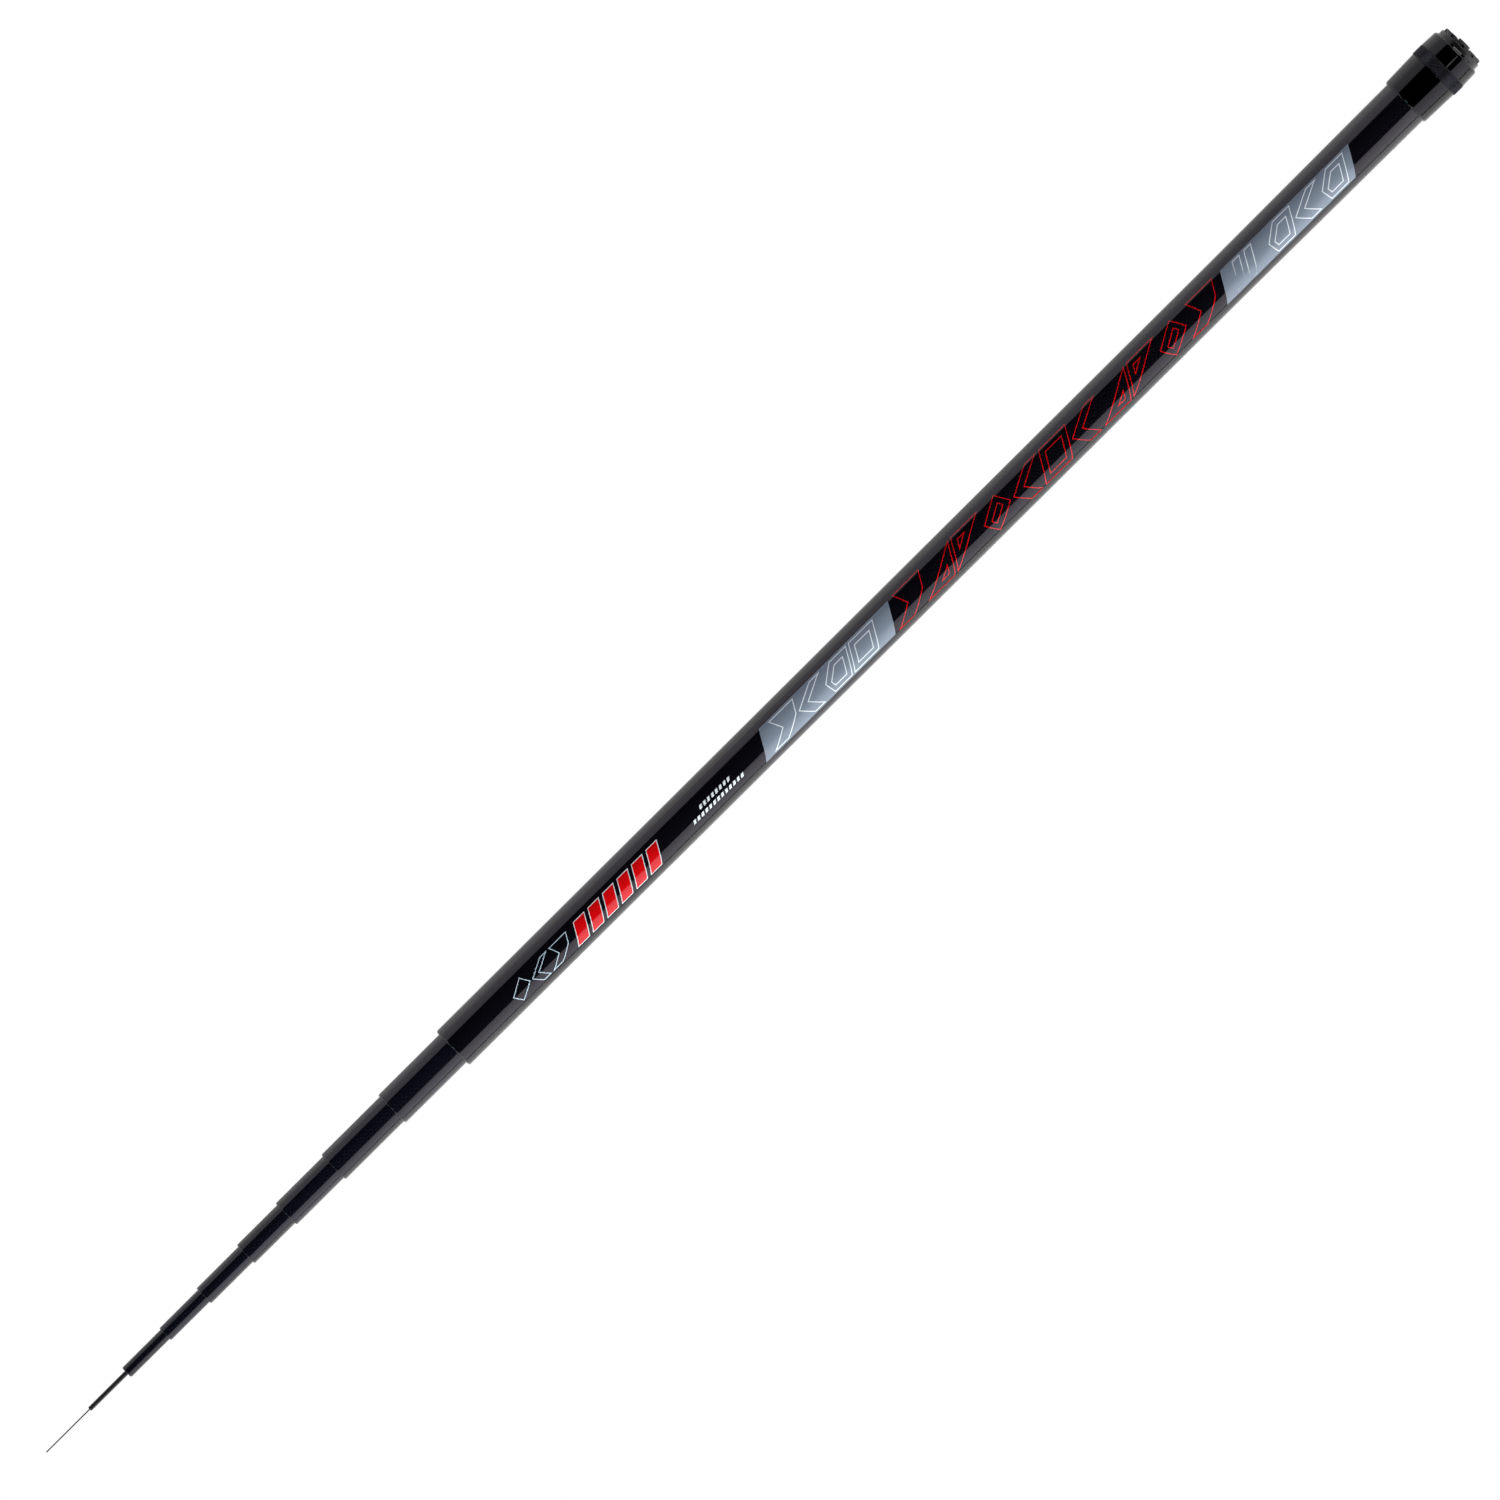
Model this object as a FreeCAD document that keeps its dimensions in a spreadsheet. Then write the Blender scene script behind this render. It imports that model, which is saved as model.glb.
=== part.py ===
"""Ten-section telescopic pole with a screw butt cap, as a parametric FreeCAD document.

Frame: +X runs along the pole towards the tip, +Z is up (the printed side of the butt), and the
origin is the centre of the butt end face. The sections stand part-way out of each other.
Each sub-part is drawn along its own X axis and moved to its place by its Placement.
"""
import FreeCAD, Part
import Sketcher
import os

NODE_FOLDER = "parts"

# The butt section, its screw cap and the pieces in it. Lengths and radii are in millimetres.
# "_at" is a place along the pole, measured from the butt end face.
BUTT_SIZES = {
    "butt_base_at": 29.4,
    "butt_grip_end_at": 44.0,
    "butt_taper_end_at": 155.0,
    "butt_parallel_start_at": 330.0,
    "butt_parallel_end_at": 450.0,
    "butt_reinforced_at": 640.0,
    "butt_mouth_at": 670.6,
    "butt_base_radius": 11.95,
    "butt_taper_end_radius": 11.45,
    "butt_parallel_radius": 11.33,
    "butt_mouth_radius": 11.16,
    "butt_wall": 1.25,
    "collar_rear_at": 21.2,
    "collar_front_at": 40.0,
    "collar_rear_radius": 13.58,
    "collar_front_radius": 13.08,
    "collar_edge_round": 1.0,
    "insert_radius": 12.5,
    "insert_seat_radius": 12.3,
    "insert_seat_depth": 1.5,
    "thread_bore_radius": 11.55,
    "plug_thread_radius": 11.5,
    "plug_front_at": 29.0,
    "plug_edge_chamfer": 0.4,
    "plug_recess_radius": 10.25,
    "plug_recess_floor_at": 17.3,
    "plug_socket_floor_at": 12.0,
    "plug_spigot_radius": 11.0,
    "plug_relief_radius": 10.9,
    "plug_relief_front_at": 22.6,
    "knurl_rear_at": 14.8,
    "knurl_front_at": 21.1,
    "knurl_radius": 13.95,
    "knurl_chamfer": 0.25,
    "sleeve_rear_at": 5.1,
    "sleeve_step_at": 5.9,
    "sleeve_round_at": 7.0,
    "sleeve_rear_radius": 11.95,
    "sleeve_step_radius": 12.4,
    "sleeve_round_radius": 13.5,
    "sleeve_front_radius": 13.85,
    "seal_at": 21.85,
    "seal_ring_radius": 11.45,
    "seal_cord_radius": 0.5,
    "cushion_radius": 9.9,
    "cushion_front_at": 20.0,
    "bumper_stem_radius": 5.0,
    "bumper_stem_front_at": 11.5,
    "bumper_disc_radius": 11.9,
    "bumper_disc_rear_at": 3.0,
    "bumper_ring_radius": 11.05,
    "bumper_bowl_radius": 7.5,
    "bumper_bowl_floor_at": 2.5,
    "bumper_boss_radius": 3.5,
    "crown_rear_at": 1.1,
    "crown_slot_floor_at": 1.6,
    "crown_slot_width": 3.0,
    "crown_slot_inner_radius": 5.0,
    "crown_slot_outer_radius": 12.5,
    "rim_pocket_rear_at": 1.7,
    "rim_pocket_front_at": 2.85,
    "rim_pocket_width": 2.0,
    "rim_pocket_floor_radius": 10.2,
    "mouth_edge_length": 1.3,
    "mouth_edge_share": 0.6,
    "tip_end_at": 939.9,
    "tip_length": 690.8,
    "tip_base_radius": 0.733,
    "tip_end_radius": 0.3,
    "tip_parallel_length": 15.0,
    "tip_nose_length": 0.3,
    "tip_nose_radius": 0.12,
}

# One row for each hollow inner section: mouth position, length, base radius, mouth radius, wall.
SECTION_COLUMNS = ("mouth_at", "length", "base_radius", "mouth_radius", "wall")
SECTION_SIZES = {
    2: (711.0, 654.8, 9.94, 9.20, 0.75),
    3: (749.7, 659.3, 8.47, 8.17, 0.62),
    4: (781.0, 663.8, 7.564, 7.10, 0.60),
    5: (807.8, 668.3, 6.52, 6.06, 0.55),
    6: (835.5, 672.8, 5.535, 5.00, 0.50),
    7: (861.1, 677.3, 4.53, 4.00, 0.45),
    8: (886.7, 681.8, 3.573, 3.12, 0.60),
    9: (911.2, 686.3, 2.53, 1.13, 0.40),
}

CROWN_BLOCKS = 10
FULL_TURN = 360.0

doc = FreeCAD.newDocument("TelescopicPole")
sheet = doc.addObject("Spreadsheet::Sheet", "Sizes")


def fill_sheet():
    """Writes every driving size into the sheet, with its name beside it."""
    rows = dict(BUTT_SIZES)
    for number, values in SECTION_SIZES.items():
        for column, value in zip(SECTION_COLUMNS, values):
            rows[f"section_{number}_{column}"] = value
    for row, (alias, value) in enumerate(rows.items(), start=1):
        sheet.set(f"A{row}", alias.replace("_", " "))
        sheet.set(f"B{row}", str(value))
        sheet.setAlias(f"B{row}", alias)
    doc.recompute()


def size(text):
    """Turns words of the sheet in an expression into references, such as <<Sizes>>.butt_wall."""
    words = []
    for word in text.split():
        words.append(f"Sizes.{word}" if word[0].isalpha() else word)
    return " ".join(words)


def origin_feature(body, role):
    """Returns the body's own origin plane or axis, such as XY_Plane or X_Axis."""
    return next(item for item in body.Origin.OriginFeatures if item.Role == role)


def outline_sketch(body, name, outline, plane="XY_Plane", lift=None, turn=0.0):
    """Draws a closed outline of straight edges, each corner held by two sizes from the sheet.

    The sketch may be lifted off its plane, and turned in it by an angle in degrees.
    """
    sketch = body.newObject("Sketcher::SketchObject", name)
    sketch.AttachmentSupport = [(origin_feature(body, plane), "")]
    sketch.MapMode = "FlatFace"
    normal = FreeCAD.Vector(0, 0, 1)
    sketch.AttachmentOffset = FreeCAD.Placement(FreeCAD.Vector(), FreeCAD.Rotation(normal, turn))
    if lift:
        sketch.setExpression("AttachmentOffset.Base.z", size(lift))
    spots = [tuple(sheet_value(part) for part in corner) for corner in outline]
    for start, end in zip(spots, spots[1:] + spots[:1]):
        sketch.addGeometry(Part.LineSegment(FreeCAD.Vector(*start, 0), FreeCAD.Vector(*end, 0)))
    count = len(outline)
    for edge in range(count):
        sketch.addConstraint(Sketcher.Constraint("Coincident", edge, 2, (edge + 1) % count, 1))
    for corner, texts in enumerate(outline):
        for kind, text, spot in zip(("DistanceX", "DistanceY"), texts, spots[corner]):
            index = sketch.addConstraint(Sketcher.Constraint(kind, -1, 1, corner, 1, spot))
            label = f"{kind}_{corner}"
            sketch.renameConstraint(index, label)
            sketch.setExpression(f"Constraints.{label}", size(text))
    return sketch


def sheet_value(text):
    """Works out an expression's present value, so that the sketch starts in its true shape."""
    return float(doc.Sizes.evalExpression(size(text).replace("Sizes.", "")))


def turned_body(name, outline, base_at=None):
    """Makes a body by turning a half outline (along, radius) a full turn about its X axis."""
    body = doc.addObject("PartDesign::Body", name)
    body.Label = name
    sketch = outline_sketch(body, f"{name}_half_section", outline)
    turning = body.newObject("PartDesign::Revolution", f"{name}_turning")
    turning.Profile = sketch
    turning.ReferenceAxis = (sketch, ["H_Axis"])
    turning.Angle = FULL_TURN
    if base_at:
        body.setExpression("Placement.Base.x", size(base_at))
    doc.recompute()
    return body


def round_edges(body, name, radius, places):
    """Rounds the circular edges of a turned body that lie at the given (along, radius) places."""
    base = body.Tip
    edges = []
    for along, ring in places:
        for index, edge in enumerate(base.Shape.Edges, start=1):
            curve = edge.Curve
            if isinstance(curve, Part.Circle) and abs(curve.Radius - sheet_value(ring)) < 0.01:
                if abs(curve.Center.x - sheet_value(along)) < 0.01:
                    edges.append(f"Edge{index}")
    fillet = body.newObject("PartDesign::Fillet", name)
    fillet.Base = (base, edges)
    fillet.setExpression("Radius", size(radius))
    doc.recompute()


def make_butt_tube():
    """The outer blank: a quick taper from the cap, a parallel stretch, and a reinforced mouth."""
    stations = (
        ("butt_base_at", "butt_base_radius"),
        ("butt_grip_end_at", "butt_base_radius"),
        ("butt_taper_end_at", "butt_taper_end_radius"),
        ("butt_parallel_start_at", "butt_parallel_radius"),
        ("butt_parallel_end_at", "butt_parallel_radius"),
        ("butt_reinforced_at", "butt_mouth_radius"),
    )
    outside = list(stations) + [
        ("butt_mouth_at - mouth_edge_length", "butt_mouth_radius"),
        ("butt_mouth_at", "butt_mouth_radius - butt_wall * mouth_edge_share"),
    ]
    inside = [("butt_mouth_at", "butt_mouth_radius - butt_wall")]
    inside += [(along, f"{radius} - butt_wall") for along, radius in reversed(stations)]
    return turned_body("butt_tube", outside + inside)


def make_butt_collar():
    """The ferrule bonded round the thick end of the butt, over the tube and the insert."""
    collar = turned_body("butt_collar", [
        ("collar_rear_at", "insert_radius"),
        ("collar_rear_at", "collar_rear_radius"),
        ("collar_front_at", "collar_front_radius"),
        ("collar_front_at", "butt_base_radius"),
        ("butt_base_at", "butt_base_radius"),
        ("butt_base_at", "insert_radius"),
    ])
    front_edge = [("collar_front_at", "collar_front_radius")]
    round_edges(collar, "collar_front_rounding", "collar_edge_round", front_edge)
    return collar


def make_thread_insert():
    """The threaded bush in the collar, with a seat for the sealing ring at its rear."""
    return turned_body("thread_insert", [
        ("collar_rear_at", "insert_seat_radius"),
        ("collar_rear_at", "insert_radius"),
        ("butt_base_at", "insert_radius"),
        ("butt_base_at", "thread_bore_radius"),
        ("collar_rear_at + insert_seat_depth", "thread_bore_radius"),
        ("collar_rear_at + insert_seat_depth", "insert_seat_radius"),
    ])


def make_cap_plug():
    """The turned plug of the cap: rear spigot, knurled band, seal relief, thread and recess."""
    return turned_body("cap_plug", [
        ("plug_socket_floor_at", "0"),
        ("plug_socket_floor_at", "bumper_stem_radius"),
        ("sleeve_rear_at", "bumper_stem_radius"),
        ("sleeve_rear_at", "plug_spigot_radius"),
        ("knurl_rear_at", "plug_spigot_radius"),
        ("knurl_rear_at", "knurl_radius - knurl_chamfer"),
        ("knurl_rear_at + knurl_chamfer", "knurl_radius"),
        ("knurl_front_at - knurl_chamfer", "knurl_radius"),
        ("knurl_front_at", "knurl_radius - knurl_chamfer"),
        ("knurl_front_at", "plug_relief_radius"),
        ("plug_relief_front_at", "plug_relief_radius"),
        ("plug_relief_front_at", "plug_thread_radius"),
        ("plug_front_at - plug_edge_chamfer", "plug_thread_radius"),
        ("plug_front_at", "plug_thread_radius - plug_edge_chamfer"),
        ("plug_front_at", "plug_recess_radius"),
        ("plug_recess_floor_at", "plug_recess_radius"),
        ("plug_recess_floor_at", "0"),
    ])


def make_cap_sleeve():
    """The gloss sleeve bonded on the plug's spigot, rounded over at its rear end."""
    return turned_body("cap_sleeve", [
        ("sleeve_rear_at", "plug_spigot_radius"),
        ("sleeve_rear_at", "sleeve_rear_radius"),
        ("sleeve_step_at", "sleeve_step_radius"),
        ("sleeve_round_at", "sleeve_round_radius"),
        ("knurl_rear_at", "sleeve_front_radius"),
        ("knurl_rear_at", "plug_spigot_radius"),
    ])


def cut_round_axis(body, sketch, name, count, depth=None):
    """Cuts a sketch into the body, to a depth or right through, evenly round the body's X axis."""
    volume = body.Shape.Volume
    cut = body.newObject("PartDesign::Pocket", name)
    cut.Profile = sketch
    cut.Reversed = True
    if depth:
        cut.setExpression("Length", size(depth))
    else:
        cut.Type = "ThroughAll"
    doc.recompute()
    if body.Shape.Volume >= volume:
        raise RuntimeError(f"{name} removed nothing")
    pattern = body.newObject("PartDesign::PolarPattern", f"{name}_pattern")
    pattern.Originals = [cut]
    pattern.Axis = (origin_feature(body, "X_Axis"), [""])
    pattern.Angle = FULL_TURN
    pattern.Occurrences = count
    body.Tip = pattern
    doc.recompute()


def make_bumper():
    """The rubber end: a disc, a crown of blocks with a pocket in each, a boss and a stem."""
    bumper = turned_body("bumper", [
        ("0", "0"),
        ("0", "bumper_boss_radius"),
        ("bumper_bowl_floor_at", "bumper_boss_radius"),
        ("bumper_bowl_floor_at", "bumper_bowl_radius"),
        ("crown_rear_at", "bumper_bowl_radius"),
        ("crown_rear_at", "bumper_ring_radius"),
        ("bumper_disc_rear_at", "bumper_ring_radius"),
        ("bumper_disc_rear_at", "bumper_disc_radius"),
        ("sleeve_rear_at", "bumper_disc_radius"),
        ("sleeve_rear_at", "bumper_stem_radius"),
        ("bumper_stem_front_at", "bumper_stem_radius"),
        ("bumper_stem_front_at", "0"),
    ])
    half_pitch = FULL_TURN / CROWN_BLOCKS / 2
    slot = outline_sketch(bumper, "crown_slot_outline", [
        ("crown_slot_width / -2", "crown_slot_inner_radius"),
        ("crown_slot_width / 2", "crown_slot_inner_radius"),
        ("crown_slot_width / 2", "crown_slot_outer_radius"),
        ("crown_slot_width / -2", "crown_slot_outer_radius"),
    ], plane="YZ_Plane", turn=half_pitch)
    cut_round_axis(bumper, slot, "crown_slots", CROWN_BLOCKS, depth="crown_slot_floor_at")
    pocket = outline_sketch(bumper, "rim_pocket_outline", [
        ("rim_pocket_rear_at", "rim_pocket_width / -2"),
        ("rim_pocket_front_at", "rim_pocket_width / -2"),
        ("rim_pocket_front_at", "rim_pocket_width / 2"),
        ("rim_pocket_rear_at", "rim_pocket_width / 2"),
    ], lift="rim_pocket_floor_radius")
    cut_round_axis(bumper, pocket, "rim_pockets", CROWN_BLOCKS)
    return bumper


def make_seal_ring():
    """The O-ring on the plug, between the knurled band and the insert's seat."""
    ring = doc.addObject("Part::Torus", "seal_ring")
    ring.Label = "seal_ring"
    ring.setExpression("Radius1", size("seal_ring_radius"))
    ring.setExpression("Radius2", size("seal_cord_radius"))
    ring.Placement = FreeCAD.Placement(
        FreeCAD.Vector(), FreeCAD.Rotation(FreeCAD.Vector(0, 1, 0), 90))
    ring.setExpression("Placement.Base.x", size("seal_at"))
    return ring


def make_stop_cushion():
    """The foam disc in the plug's recess, on which the closed sections rest."""
    cushion = doc.addObject("Part::Cylinder", "stop_cushion")
    cushion.Label = "stop_cushion"
    cushion.setExpression("Radius", size("cushion_radius"))
    cushion.setExpression("Height", size("cushion_front_at - plug_recess_floor_at"))
    cushion.Placement = FreeCAD.Placement(
        FreeCAD.Vector(), FreeCAD.Rotation(FreeCAD.Vector(0, 1, 0), 90))
    cushion.setExpression("Placement.Base.x", size("plug_recess_floor_at"))
    return cushion


def make_section(number):
    """A hollow inner section: an even taper with an even wall and a rounded-over mouth."""
    own = f"section_{number}"
    return turned_body(own, [
        ("0", f"{own}_base_radius"),
        (f"{own}_length - mouth_edge_length", f"{own}_mouth_radius"),
        (f"{own}_length", f"{own}_mouth_radius - {own}_wall * mouth_edge_share"),
        (f"{own}_length", f"{own}_mouth_radius - {own}_wall"),
        ("0", f"{own}_base_radius - {own}_wall"),
    ], base_at=f"{own}_mouth_at - {own}_length")


def make_tip_rod():
    """The solid tip: an even taper, then a parallel end for a line connector."""
    return turned_body("tip_rod", [
        ("0", "0"),
        ("0", "tip_base_radius"),
        ("tip_length - tip_parallel_length", "tip_end_radius"),
        ("tip_length - tip_nose_length", "tip_end_radius"),
        ("tip_length", "tip_nose_radius"),
        ("tip_length", "0"),
    ], base_at="tip_end_at - tip_length")


def check_document():
    """Stops if any object failed to recompute."""
    doc.recompute()
    for item in doc.Objects:
        if {"Invalid", "Error"} & set(item.State):
            raise RuntimeError(f"{item.Name} is {item.State}")


def export_nodes(nodes):
    """Writes one STEP file for each sub-part, after checking every solid."""
    for node in nodes:
        shape = node.Shape
        if shape.isNull() or not shape.isValid() or len(shape.Solids) != 1:
            raise RuntimeError(f"{node.Label} isn't one valid solid")
    os.makedirs(NODE_FOLDER, exist_ok=True)
    for node in nodes:
        node.Shape.exportStep(f"{NODE_FOLDER}/{node.Label}.step")
        box = node.Shape.BoundBox
        print(f"{node.Label}: x {box.XMin:.2f} to {box.XMax:.2f}, radius {box.YMax:.3f}, "
              f"volume {node.Shape.Volume:.1f}")


fill_sheet()
nodes = [
    make_butt_tube(),
    make_butt_collar(),
    make_thread_insert(),
    make_cap_plug(),
    make_cap_sleeve(),
    make_bumper(),
    make_seal_ring(),
    make_stop_cushion(),
]
nodes += [make_section(number) for number in SECTION_SIZES]
nodes.append(make_tip_rod())
check_document()
export_nodes(nodes)
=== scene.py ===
"""A telescopic pole with a screw butt cap, dressed round its CAD frame.

Everything is in metres in the frame's own axes: +X runs along the pole towards the tip and +Z goes up
through the printed side of the butt. Angles round the pole are measured from +Z towards +Y.
"""

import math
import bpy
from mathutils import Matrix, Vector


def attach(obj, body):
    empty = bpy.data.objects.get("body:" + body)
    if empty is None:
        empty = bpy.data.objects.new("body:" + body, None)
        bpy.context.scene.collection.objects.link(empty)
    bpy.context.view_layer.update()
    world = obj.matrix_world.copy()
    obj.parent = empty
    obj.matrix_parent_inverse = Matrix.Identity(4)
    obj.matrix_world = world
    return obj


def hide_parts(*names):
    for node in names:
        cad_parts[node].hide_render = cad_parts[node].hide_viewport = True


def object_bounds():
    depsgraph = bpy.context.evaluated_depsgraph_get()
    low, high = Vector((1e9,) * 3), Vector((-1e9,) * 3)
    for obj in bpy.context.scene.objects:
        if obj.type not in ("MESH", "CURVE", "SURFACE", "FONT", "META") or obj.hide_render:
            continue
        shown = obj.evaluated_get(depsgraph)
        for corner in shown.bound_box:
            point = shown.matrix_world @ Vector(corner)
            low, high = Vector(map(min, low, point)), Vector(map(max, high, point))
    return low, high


bl_info = {
    "name": "Telescopic pole",
    "version": (1, 0, 0),
    "blender": (4, 5, 0),
    "location": "3D View > Sidebar > Pole",
    "description": "Lacquered telescopic pole with a knurled screw cap, a printed butt and a studio",
    "category": "Object",
}

import bmesh
import bpy
import numpy as np
from bpy.props import FloatProperty, FloatVectorProperty, IntProperty, PointerProperty

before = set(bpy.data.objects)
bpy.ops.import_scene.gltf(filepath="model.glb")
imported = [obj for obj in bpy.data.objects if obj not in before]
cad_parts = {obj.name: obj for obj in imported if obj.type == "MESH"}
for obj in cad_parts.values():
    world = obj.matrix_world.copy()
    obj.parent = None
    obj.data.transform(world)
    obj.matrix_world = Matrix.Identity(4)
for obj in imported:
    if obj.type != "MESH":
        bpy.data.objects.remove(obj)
cad_low, cad_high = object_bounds()

MM = 0.001
FULL_TURN = 2 * math.pi
INNER_SECTIONS = range(2, 10)
BLACK = (0.0, 0.0, 0.0)
WHITE = (1.0, 1.0, 1.0)
SAME_PLACE = 0.01 * MM
STEP = 0.05 * MM  # the least stretch between two rows of points
THREAD_ROWS = 12  # to a pitch
KNURL_FACETS = 4  # to a diamond, each way
LAP = 0.04 * MM  # of the bumper's two shells
PEEL_DEPTH = 0.004 * MM  # of the lacquer's orange peel


def length_property(name, text, value):
    """A length in metres, with its name, description and default."""
    return FloatProperty(name=name, description=text, default=value, unit="LENGTH", precision=6)


def share_property(name, text, value):
    """A share from 0 to 1."""
    return FloatProperty(name=name, description=text, default=value, min=0, max=1, subtype="FACTOR")


def strength_property(name, text, value):
    """A brightness."""
    return FloatProperty(name=name, description=text, default=value, min=0)


def colour_property(name, text, value):
    """A colour picker with a linear default."""
    return FloatVectorProperty(name=name, description=text, subtype="COLOR", size=3, min=0, max=1,
                               default=value)


class PoleSizes(bpy.types.PropertyGroup):
    """Sizes of the details that the CAD frame leaves out."""

    facets: IntProperty(name="Facets", description="Facets round each tube", default=192, min=24)
    mouth_rounding: length_property("Mouth rounding", "Longest rounded edge at a tube's mouth", 1.3 * MM)
    mouth_depth: share_property("Mouth depth", "Share of the wall that the rounded edge takes", 0.8)
    ferrule_rounding: length_property("Ferrule rounding", "Length of the ferrule's front edge", 1.5 * MM)
    fine_edge: length_property("Fine edge", "Rounding of a turned or moulded edge", 0.15 * MM)
    seam: length_property("Seam", "How far the ferrule closes up to the cap's band", 0.08 * MM)
    knurl_teeth: IntProperty(name="Knurl teeth", description="Diamonds round the band", default=93)
    knurl_rows: IntProperty(name="Knurl rows", description="Diamonds across the band", default=6)
    knurl_depth: length_property("Knurl depth", "Depth of the grooves between the diamonds", 0.3 * MM)
    thread_pitch: length_property("Thread pitch", "Travel of the cap in one turn", 1.5 * MM)
    thread_depth: length_property("Thread depth", "Height of the thread above its root", 0.5 * MM)
    thread_gap: length_property("Thread gap", "Clearance between the two threads", 0.1 * MM)
    crown_blocks: IntProperty(name="Crown blocks", description="Blocks round the bumper", default=10)
    crown_rear: length_property("Crown rear", "Distance of the blocks from the boss's face", 1.1 * MM)
    crown_floor: length_property("Crown floor", "Distance of the slots' floors from it", 1.6 * MM)
    bowl_floor: length_property("Bowl floor", "Distance of the bowl's floor from it", 2.5 * MM)
    crown_slot: length_property("Crown slot", "Width of the slots between the blocks", 3.0 * MM)
    crown_inner: length_property("Crown inner radius", "Radius of the bowl in the crown", 7.5 * MM)
    crown_outer: length_property("Crown outer radius", "Radius of the crown", 11.05 * MM)
    boss: length_property("Boss radius", "Radius of the boss in the middle of the crown", 3.5 * MM)
    rim_pocket_width: length_property("Rim pocket width", "Width of a rim pocket", 2.0 * MM)
    rim_pocket_floor: length_property("Rim pocket floor", "Radius of a rim pocket's floor", 10.2 * MM)
    film: length_property("Print thickness", "Thickness of one layer of print", 0.02 * MM)
    slant: share_property("Slant", "Lean of the printed marks along the pole, per unit across", 0.565)


class PoleColours(bpy.types.PropertyGroup):
    """Colours of the finishes."""

    blank: colour_property("Blank", "Black lacquer of the butt", (0.0030, 0.0029, 0.0052))
    ferrule: colour_property("Ferrule", "Deep black lacquer of the cap and ferrule", (0.0001, 0.0001, 0.0003))
    section: colour_property("Sections", "Blue-black lacquer of the sections", (0.0043, 0.0048, 0.0085))
    tip: colour_property("Tip", "Bare carbon of the tip", (0.010, 0.0075, 0.0085))
    panel: colour_property("Panel", "Grey-blue printed panels", (0.225, 0.275, 0.343))
    pale: colour_property("Pale ink", "Pale outlines and edges", (0.80, 0.88, 0.93))
    red: colour_property("Red ink", "Red outlines and bars", (0.68, 0.003, 0.005))
    blue: colour_property("Blue ink", "Light blue outlines", (0.52, 0.68, 0.78))
    anodised: colour_property("Anodised", "Black anodised plug and band", (0.020, 0.020, 0.024))
    aluminium: colour_property("Aluminium", "Turned bush", (0.60, 0.61, 0.63))
    rubber: colour_property("Rubber", "Bumper", (0.030, 0.031, 0.030))
    seal: colour_property("Seal", "Rubber of the seal", (0.012, 0.012, 0.012))
    foam: colour_property("Foam", "Cushion in the cap", (0.035, 0.036, 0.038))


class PoleStage(bpy.types.PropertyGroup):
    """The floor, the lights and the camera."""

    floor: colour_property("Floor", "Pale floor", (0.88, 0.88, 0.885))
    floor_glow: strength_property("Floor glow", "Brightness of the floor to the camera", 1.0)
    floor_pool: strength_property("Floor pool", "Light that the floor gives at its +Y side", 1.2)
    near_light: strength_property("Near side", "Brightness of the +Y soft light", 2.1)
    far_light: strength_property("Far side", "Brightness of the -Y soft light", 1.0)
    key_light: strength_property("Key", "Brightness of the light for the colours", 4.3)
    hair_light: strength_property("Hair line", "Brightness of the thin light over the butt", 3.2)
    rear_light: strength_property("Rear window", "Brightness of the light behind the cap", 3.3)
    front_light: strength_property("Front window", "Brightness of the light past the tip", 2.2)
    gloss_tint: colour_property("Gloss tint", "Colour of the soft lights", (0.94, 0.89, 1.0))
    window_tint: colour_property("Window tint", "Colour of the front window", (0.45, 0.75, 0.95))
    camera_height: length_property("Camera height", "Height of the camera over the pole", 12.0)
    picture_width: length_property("Picture width", "Width of the view at the pole", 0.705)
    picture_middle: length_property("Picture middle", "Place along the pole at its middle", 0.4726)
    picture_side: length_property("Picture side", "Place across the pole at its middle", -0.0011)
    picture_turn: FloatProperty(
        name="Picture turn", description="Turn of the picture about the line of sight",
        default=math.radians(135.19), subtype="ANGLE")


def sizes():
    return bpy.context.scene.pole_sizes


def colours():
    return bpy.context.scene.pole_colours


# Outlines read from the frame.

def corners_of(spots):
    """The corners of a half outline, from the vertices on one wall of a turned CAD node.

    Each distinct x is a station. Where the wall is a step, the station has two radii, and the one
    nearer to the radius just before it comes first. A station that lies on the straight line
    between its neighbours is dropped.
    """
    place = np.round(spots[:, 0], 6)
    radius = np.hypot(spots[:, 1], spots[:, 2])
    outline = []
    for station in np.unique(place):
        here = radius[place == station]
        low, high = here.min(), here.max()
        if high - low < SAME_PLACE:
            outline.append((station, high))
            continue
        last = outline[-1][1] if outline else low
        rising = abs(low - last) <= abs(high - last)
        outline += [(station, low), (station, high)] if rising else [(station, high), (station, low)]
    outline = np.array(outline)
    step = np.diff(outline, axis=0)
    lean = np.arctan2(step[:, 1], step[:, 0])
    least_bend = 0.0015
    corner = np.abs(np.diff(lean)) > least_bend
    return outline[np.concatenate([[True], corner, [True]])]


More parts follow.
